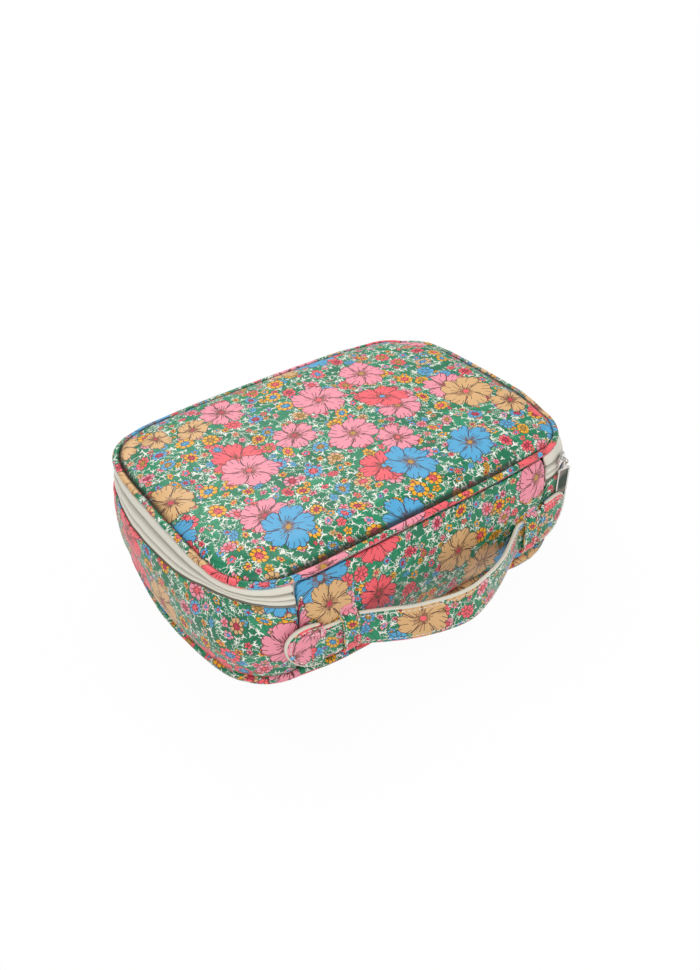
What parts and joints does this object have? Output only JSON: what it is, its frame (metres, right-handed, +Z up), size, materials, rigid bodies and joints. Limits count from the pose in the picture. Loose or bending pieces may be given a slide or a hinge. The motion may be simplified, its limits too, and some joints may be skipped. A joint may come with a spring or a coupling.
{
  "type": "zip-around lunch case",
  "caption": "Soft padded fabric lunch case with a hinged lid, a coil zip round the sides and back, piped edges and a sliding strap handle on the front.",
  "frame": {"origin": "centre of the flat base panel, on the resting plane", "axes": "+X along the long side, -Y towards the handle side, +Z up"},
  "size_m": [0.2672, 0.2228, 0.0863],
  "materials": {
    "print_skin": "coated cotton print, soft satin",
    "print_strap": "coated cotton print, soft satin",
    "piping_cover": "coated cotton print over cord",
    "lining": "matt woven lining",
    "bias_tape": "matt woven tape",
    "zip_tape": "coated woven tape",
    "edging": "folded woven tape",
    "webbing": "woven webbing",
    "foam": "soft foam wadding",
    "zip_coil": "nylon coil",
    "board": "stiff base board",
    "nickel": "polished nickel plate",
    "nickel_mirror": "mirror-polished nickel plate"
  },
  "bodies": {
    "case": {"base_panel": "print_skin", "base_board": "board", "base_lining": "lining", "base_piping": "piping_cover", "front_panel": "print_skin", "front_foam": "foam", "side_gusset": "print_skin", "gusset_foam": "foam", "front_lining": "lining", "gusset_lining": "lining", "gusset_binding": "bias_tape", "zip_tape_case": "zip_tape", "zip_coil_case": "zip_coil", "loop_left": "print_strap", "loop_right": "print_strap"},
    "lid": {"lid_panel": "print_skin", "lid_foam": "foam", "lid_lining": "lining", "lid_piping": "piping_cover", "lid_binding": "bias_tape", "zip_tape_lid": "zip_tape", "zip_coil_lid": "zip_coil"},
    "slider": {"zip_slider": "nickel", "slider_ring": "nickel"},
    "puller": {"zip_puller": "nickel_mirror"},
    "handle_grip": {"strap_face": "print_strap", "strap_core": "webbing", "strap_back": "print_strap", "strap_edging": "edging"},
    "tab_left": {"tab_left": "print_strap", "tab_edging_left": "edging"},
    "tab_right": {"tab_right": "print_strap", "tab_edging_right": "edging"}
  },
  "joints": [
    {"name": "lid_hinge", "type": "hinge", "parent": "case", "child": "lid", "pos_m": [0, -0.0907, 0.081], "axis": [1, 0, 0], "range_deg": [0, 180]},
    {"name": "slider_run", "type": "hinge", "parent": "case", "child": "slider", "pos_m": [0.09154, -0.056, 0.0718], "axis": [0, 0, 1], "range_deg": [0, 62]},
    {"name": "puller_swing", "type": "hinge", "parent": "slider", "child": "puller", "pos_m": [0.10833, -0.0937, 0.06918], "axis": [0.4067, -0.9135, 0], "range_deg": [0, 100]},
    {"name": "handle_pull", "type": "slide", "parent": "case", "child": "handle_grip", "axis": [0, -1, 0], "range_m": [0, 0.009]},
    {"name": "tab_left_slide", "type": "slide", "parent": "handle_grip", "child": "tab_left", "axis": [0.7433, 0.669, 0], "range_m": [0, 0.01345]},
    {"name": "tab_right_slide", "type": "slide", "parent": "handle_grip", "child": "tab_right", "axis": [-0.2676, 0.9635, 0], "range_m": [0, 0.00934]}
  ],
  "couplings": [
    {"joint": "tab_left_slide", "follows": "handle_pull", "ratio": 1.4948},
    {"joint": "tab_right_slide", "follows": "handle_pull", "ratio": 1.0379}
  ]
}
